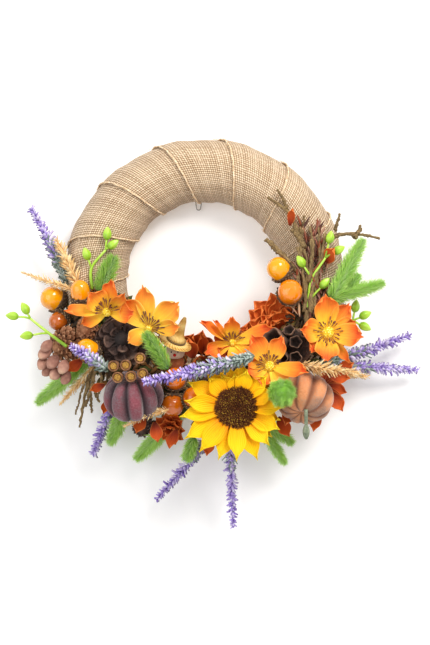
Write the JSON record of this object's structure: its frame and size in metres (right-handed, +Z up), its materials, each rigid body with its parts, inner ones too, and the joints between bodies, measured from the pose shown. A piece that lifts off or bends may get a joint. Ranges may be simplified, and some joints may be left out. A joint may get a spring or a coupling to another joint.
{
  "type": "harvest door wreath",
  "caption": "Burlap-wrapped ring wreath with silk flowers, pumpkins, acorns, cones and lavender over its lower half and a wire hanging loop.",
  "frame": {"origin": "the point inside the hanging loop that bears on the nail, with the loop hanging down at rest", "axes": "+Z up, +X to the right seen from the front, +Y towards the door; the flowers face -Y"},
  "size_m": [0.4434, 0.1298, 0.4045],
  "materials": {
    "foam": "white expanded foam, matt",
    "burlap": "natural jute burlap ribbon, open plain weave, matt",
    "steel_wire": "bright galvanised wire, satin",
    "bark": "rough olive-brown twig bark with pale cut ends",
    "lavender": "flocked soft plastic florets, purple fading to grey-green at the stem",
    "straw": "dry straw and grass, matt",
    "green_plush": "bright green fine plush hairs",
    "lime_bud": "lime green moulded plastic, soft gloss",
    "seed_cup": "brown seed caps, gold inside",
    "dark_cone": "dark brown cone scales, matt",
    "brown_cone": "mid-brown cone scales, matt",
    "plum_flock": "plum flock over foam",
    "peach_flock": "peach flock over foam, dusted grey-brown",
    "sage_plastic": "grey-green moulded stalk",
    "rust_silk": "rust-red artificial silk, matt",
    "orange_silk": "orange artificial silk with a yellow base",
    "yellow_stamens": "yellow moulded stamens with brown filaments",
    "sunflower_silk": "yellow artificial silk with an orange base",
    "sunflower_disc": "dark brown bristle with gold tips",
    "acorn_lacquer": "lacquered yellow to orange nut in a rough brown cap",
    "doll_cloth": "knitted rust body and off-white cloth face"
  },
  "bodies": {
    "wreath": {"acorn_left_front": "acorn_lacquer", "acorn_left_inner": "acorn_lacquer", "acorn_left_lower": "acorn_lacquer", "acorn_left_upper": "acorn_lacquer", "acorn_middle_lower": "acorn_lacquer", "acorn_middle_right": "acorn_lacquer", "acorn_middle_upper": "acorn_lacquer", "acorn_right_lower": "acorn_lacquer", "acorn_right_upper": "acorn_lacquer", "buds_far_right": "lime_bud", "buds_left": "lime_bud", "buds_right": "lime_bud", "buds_upper_left": "lime_bud", "burlap_wrap": "burlap", "cone_black": "dark_cone", "cone_dark_open": "dark_cone", "cone_long_brown": "brown_cone", "cone_small_brown": "brown_cone", "cosmos_left": "orange_silk", "cosmos_left_centre": "yellow_stamens", "cosmos_lower_right": "orange_silk", "cosmos_lower_right_centre": "yellow_stamens", "cosmos_middle": "orange_silk", "cosmos_right": "orange_silk", "cosmos_right_centre": "yellow_stamens", "cosmos_upper_left": "orange_silk", "doll_body": "doll_cloth", "doll_hat": "straw", "foam_ring": "foam", "frond_lower_left": "straw", "frond_right": "straw", "fronds_upper_left": "straw", "hanger_staple": "steel_wire", "lavender_bottom": "lavender", "lavender_lower_left": "lavender", "lavender_middle": "lavender", "lavender_right": "lavender", "lavender_small_left": "lavender", "lavender_top_left": "lavender", "plush_ball": "green_plush", "pumpkin_peach": "peach_flock", "pumpkin_plum": "plum_flock", "pumpkin_stalk": "sage_plastic", "rust_flower_bottom": "rust_silk", "rust_flower_right": "rust_silk", "rust_leaves_right": "rust_silk", "seed_cups": "seed_cup", "seed_pod": "dark_cone", "sunflower_petals": "sunflower_silk", "sunflower_seeds": "sunflower_disc", "tail_bottom": "green_plush", "tail_bottom_left": "green_plush", "tail_lower_left": "green_plush", "tail_middle": "green_plush", "tail_upper_left": "green_plush", "tails_bottom_right": "green_plush", "tails_right": "green_plush", "twigs_lower_left": "bark", "twigs_right": "bark"},
    "hanger": {"hanger_loop": "steel_wire"}
  },
  "joints": [
    {"name": "loop_swing", "type": "hinge", "parent": "wreath", "child": "hanger", "pos_m": [0, 0, 0.0254], "axis": [1, 0, 0], "range_deg": [0, 180]}
  ]
}
